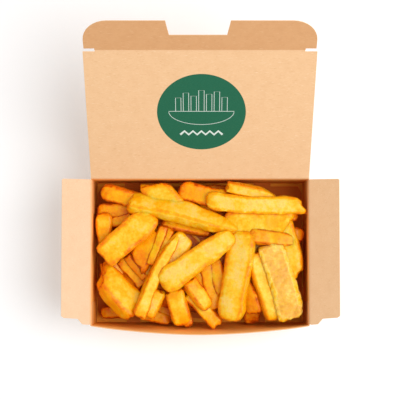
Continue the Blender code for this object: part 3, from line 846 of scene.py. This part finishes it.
SECTION = ((1, 0.5), (0.72, 1), (-0.72, 1), (-1, 0.5), (-1, -0.5), (-0.72, -1), (0.72, -1), (1, -0.5))


def coarse_rings(fry):
    """The fry's eight-sided sections, which settle whether it fits."""
    start, length, axis, side, up = fry_frame(fry)
    turn = math.radians(fry.roll)
    side, up = side * math.cos(turn) + up * math.sin(turn), up * math.cos(turn) - side * math.sin(turn)
    rings = []
    for along, wide, deep, slant in fry_stations(fry, length):
        share = along / length
        wide *= 1 + fry.taper * (0.5 - share)
        centre = start + axis * along + side * fry.bow * 4 * share * (1 - share)
        rings.append([
            centre + side * (u * wide * fry.width / 2) + up * (v * deep * fry.thick / 2)
            + axis * (slant * u / 2)
            for u, v in SECTION
        ])
    return np.array(rings)


def fits_low(rings):
    """Whether a buried fry stays inside the tray, below the top layer and out of the two free corners."""
    x, y, z = rings[..., 0], rings[..., 1], rings[..., 2]
    if abs(x).max() > LOW_SIDE or y.max() > LOW_BACK or y.min() < LOW_FRONT:
        return False
    if z.min() < LOW_FLOOR or z.max() > LOW_TOP:
        return False
    back_right = (x > FREE_RIGHT) & (y > FREE_BACK)
    front_left = (x < FREE_LEFT) & (y < FREE_FRONT)
    return not (back_right | front_left).any()


def buried_fries():
    """Fries of the lower layers, lying every way."""
    draw = random.Random(BURIED_SEED)
    found = []
    while len(found) < BURIED:
        heading, half = draw.uniform(0, math.tau), draw.uniform(22, 30)
        x, y, z = draw.uniform(-60, 60), draw.uniform(-40, 42), draw.choice(BURIED_LAYERS)
        reach = (half * math.cos(heading), half * math.sin(heading))
        lean = draw.uniform(-3, 3)
        start = (x - reach[0], y - reach[1], z - lean)
        end = (x + reach[0], y + reach[1], z + lean)
        width, thick = draw.uniform(9, 14), draw.uniform(8, 10)
        roll, bow = draw.uniform(-20, 20), draw.uniform(-1.5, 1.5)
        fry = Fry(start, end, width, thick, roll, bow, draw.choice(BURIED_TIPS), tone=BURIED_TONE)
        if fits_low(coarse_rings(fry)):
            found.append(fry)
    return found


# Room for the fries, in millimetres: inside the walls, under the closed lid and its side flaps, and
# behind the tuck flap where it hangs inside the front wall, apart from the space under its notch.
SIDE_LIMIT, BACK_LIMIT, FLOOR_LIMIT = 78.9, 52.9, 1.95
TOP_LIMIT, FLAP_TOP_LIMIT, FLAP_REACH = 49.7, 48.9, 55
FRONT_GAP = 0.4
TUCK_LOW, TUCK_FACE = 24.2, -52.0
NOTCH_LEFT, NOTCH_RIGHT, NOTCH_TOP = -20.0, 17.5, 36.9


def kept_inside(points):
    """Points pressed back to the room that the closed carton leaves."""
    x = np.clip(points[:, 0], -SIDE_LIMIT, SIDE_LIMIT)
    z = np.maximum(points[:, 2], FLOOR_LIMIT)
    z = np.minimum(z, np.where(abs(x) > FLAP_REACH, FLAP_TOP_LIMIT, TOP_LIMIT))
    rim = np.array([bulge(a * MM) for a in x]) * FRONT_BULGE / MM
    wall = -(HALF_DEPTH - BOARD) / MM + FRONT_GAP - rim * z / (SIDE_HEIGHT / MM)
    in_notch = (x > NOTCH_LEFT) & (x < NOTCH_RIGHT) & (z < NOTCH_TOP)
    behind_tuck = (z > TUCK_LOW) & ~in_notch
    front = np.where(behind_tuck, np.maximum(wall, TUCK_FACE), wall)
    y = np.maximum(np.minimum(points[:, 1], BACK_LIMIT), front)
    return np.column_stack((x, y, z))


# Painted shade: how much deeper the tone is made on faces that turn away from the top, and below a
# height in millimetres.
SIDE_DEEPER, SIDE_POWER = 0.65, 1.6
LOW_DEEPER, LOW_BELOW, LOW_SPAN = 0.4, 34, 20


def painted_shade_tone(mesh, points):
    """Painted shade: how much the tone deepens at each point, on a fry's sides and low in the heap."""
    normals = np.empty(len(points) * 3, np.float32)
    mesh.vertices.foreach_get("normal", normals)
    upright = np.clip(normals.reshape(-1, 3)[:, 2], 0, 1)
    low = np.clip((LOW_BELOW - points[:, 2]) / LOW_SPAN, 0, 1)
    return SIDE_DEEPER * (1 - upright) ** SIDE_POWER + LOW_DEEPER * low


def fries_piece(name, bodies, look):
    """Several fries as one mesh, with their crust values and painted shade as an attribute."""
    vertices, faces, crust, offset = [], [], [], 0
    for body in bodies:
        vertices.append(body.points)
        crust.append(body.crust)
        faces.extend([tuple(offset + i for i in face) for face in body.faces])
        offset += len(body.points)
    points = kept_inside(np.concatenate(vertices)) * MM
    mesh = bpy.data.meshes.new(name)
    mesh.from_pydata(points.tolist(), [], faces)
    crust = np.concatenate(crust)
    # Painted shade on the fries' sides and low in the heap, added to the tone.
    crust[:, 2] += painted_shade_tone(mesh, points / MM)
    layer = mesh.attributes.new("crust", "FLOAT_COLOR", "POINT")
    layer.data.foreach_set("color", crust.astype(np.float32).ravel())
    mesh.shade_smooth()
    mesh.materials.append(look)
    made = bpy.data.objects.new(name, mesh)
    bpy.context.scene.collection.objects.link(made)
    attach(made, "carton")
    return made


# Crust colours by tone, from dry and tan through golden to dark orange. The darkest stops are reached
# through the painted shade on the fries' sides and low in the heap.
CRUST_STOPS = (
    (-0.7, (0.79, 0.39, 0.055)),
    (-0.3, (0.93, 0.50, 0.07)),
    (0.0, (0.98, 0.66, 0.15)),
    (0.3, (0.98, 0.60, 0.04)),
    (0.6, (0.98, 0.48, 0.002)),
    (1.0, (0.96, 0.36, 0.002)),
    (1.4, (0.88, 0.22, 0.001)),
    (1.8, (0.52, 0.08, 0.001)),
)
BROWNED = (0.47, 0.11, 0.002)
BLOTCH_TONE, EDGE_TONE = 0.26, 0.75


def crust_look():
    """Fried potato: blotches from pale to golden, browner along edges and ends, small dark specks,
    and the painted shade that the mesh's tone carries.
    """
    look = Look("Fried potato", 0.4, Specular_IOR_Level=0.3, Specular_Tint=(1.0, 0.75, 0.3, 1),
                Subsurface_Weight=0.35, Subsurface_Scale=0.006, Subsurface_Radius=(1.0, 0.4, 0.06),
                Coat_Weight=0.22, Coat_Roughness=0.2, Coat_Tint=(1.0, 0.9, 0.6, 1))
    where = look.place()
    crust = look.node("Attribute", attribute_name="crust")
    parts = look.node("SeparateColor", {"Color": crust.outputs["Color"]})
    edge, tip, tone = (parts.outputs[name] for name in ("Red", "Green", "Blue"))
    blotch = look.noise(where, 10, 3, 0.55)
    blotch = look.remap(blotch, 0.3, 0.7, -BLOTCH_TONE - TONE_SHIFT, BLOTCH_TONE - TONE_SHIFT)
    fine = look.remap(look.noise(where, 3, 4, 0.6), 0.35, 0.72, -0.14, 0.2)
    tone = look.math("ADD", look.math("ADD", tone, blotch), fine)
    patchy = look.remap(look.noise(where, 6, 3), 0.22, 0.5)
    worn = look.math("MULTIPLY", look.math("MAXIMUM", edge, tip), patchy)
    tone = look.math("ADD", tone, look.math("MULTIPLY", worn, EDGE_TONE))
    colour = look.ramp(tone, CRUST_STOPS)
    speck = look.remap(look.noise(where, 1.3, 2), 0.64, 0.74)
    speck = look.math("MULTIPLY", speck, look.remap(worn, 0, 1, 0.15, 0.7))
    look.colour(look.mix(speck, colour, BROWNED))
    look.roughness(look.remap(look.noise(where, 4, 2), 0.3, 0.7, 0.26, 0.44))
    dimples = look.math("MULTIPLY", look.noise(where, 4.5, 2), 1.5)
    look.bump(look.math("ADD", look.noise(where, 1.6, 4, 0.6), dimples), 0.5, 0.75)
    return look.material


def core_body():
    """The heap's middle, a rounded block that fills what can't be seen."""
    turns = np.arange(CORE_SIDES) * math.tau / CORE_SIDES
    c, s = np.cos(turns), np.sin(turns)
    shape = np.stack((np.sign(c) * abs(c) ** 0.75, np.sign(s) * abs(s) ** 0.75), axis=1)
    known = np.array(CORE_RINGS)
    heights = np.linspace(known[0, 0], known[-1, 0] - CORE_TOP_INSET, CORE_ROWS)
    half_x, half_y = (np.interp(heights, known[:, 0], known[:, k]) - CORE_INSET for k in (1, 2))
    points = np.empty((CORE_ROWS, CORE_SIDES, 3))
    points[..., 0] = shape[:, 0] * half_x[:, None]
    points[..., 1] = shape[:, 1] * half_y[:, None]
    points[..., 2] = heights[:, None]
    lumps = CORE_LUMP_DEPTH * ripple(points, CORE_LUMP_SIZE, CORE_LUMP_SEED)
    points += grid_normals(points) * lumps[..., None]
    flat = np.zeros(points.shape[:2])
    return close_grid(points, flat, flat, CORE_TONE)


def make_fries():
    """The heap: the fries that show, the buried ones and the core, each fry with a seed of its own."""
    look = crust_look()
    left = [fry_body(fry, seed) for seed, fry in enumerate(BACK_AND_LEFT + FRONT_LEFT, 1)]
    right = [fry_body(fry, seed) for seed, fry in enumerate(MIDDLE + RIGHT_END, 41)]
    below = [fry_body(fry, seed, BURIED_STEP) for seed, fry in enumerate(buried_fries(), 81)]
    fries_piece("fries_left", left, look)
    fries_piece("fries_right", right, look)
    fries_piece("fries_below", below, look)
    core = fries_piece("fries_core", [core_body()], look)
    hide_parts("fries")


# Stage, light and camera

FLOOR_HALF = 4
KEY_PLACE, KEY_SIZE, KEY_POWER = (0.95, -0.04, 1.58), 1.6, 22.5
SKY_STRENGTH = 0.64
CAMERA_PLACE = (0, -0.0072, 0.911)
CAMERA_TIP = 3  # degrees towards the lid
SENSOR_WIDTH, FOCAL_LENGTH = 36, 106.1


def softbox(name, place, target, size, power):
    """A round soft light that faces a target."""
    lamp = bpy.data.lights.new(name, "AREA")
    lamp.shape = "DISK"
    lamp.size = size
    lamp.energy = power
    made = bpy.data.objects.new(name, lamp)
    made.location = place
    made.rotation_euler = (Vector(target) - Vector(place)).to_track_quat("-Z", "Y").to_euler()
    bpy.context.scene.collection.objects.link(made)


def make_stage():
    """A pale floor, an even sky and one soft light high on the right."""
    look = Look("Pale floor", 0.9, Specular_IOR_Level=0.1,
                Emission_Color=(1, 1, 1, 1), Emission_Strength=0.1)
    cloud = look.noise(look.place(), 60, 2)
    look.colour(look.mix(cloud, (0.93, 0.925, 0.925), (0.95, 0.945, 0.945)))
    shape = bmesh.new()
    bmesh.ops.create_grid(shape, x_segments=1, y_segments=1, size=FLOOR_HALF)
    mesh_piece("floor", shape, look.material, None)
    world = bpy.data.worlds.new("Studio")
    world.use_nodes = True
    sky = world.node_tree.nodes["Background"]
    sky.inputs["Color"].default_value = (1, 1, 1, 1)
    sky.inputs["Strength"].default_value = SKY_STRENGTH
    bpy.context.scene.world = world
    softbox("Key", KEY_PLACE, (0, 0, 0), KEY_SIZE, KEY_POWER)


def make_camera():
    """Above the carton, tipped a little towards the lid."""
    lens = bpy.data.cameras.new("Camera")
    lens.sensor_width = SENSOR_WIDTH
    lens.lens = FOCAL_LENGTH
    lens.clip_end = 20
    made = bpy.data.objects.new("Camera", lens)
    made.location = CAMERA_PLACE
    made.rotation_euler = (math.radians(CAMERA_TIP), 0, 0)
    bpy.context.scene.collection.objects.link(made)
    bpy.context.scene.camera = made


def main():
    bpy.context.scene.view_settings.view_transform = "Standard"
    make_camera()
    make_stage()
    make_carton()
    make_fries()


main()
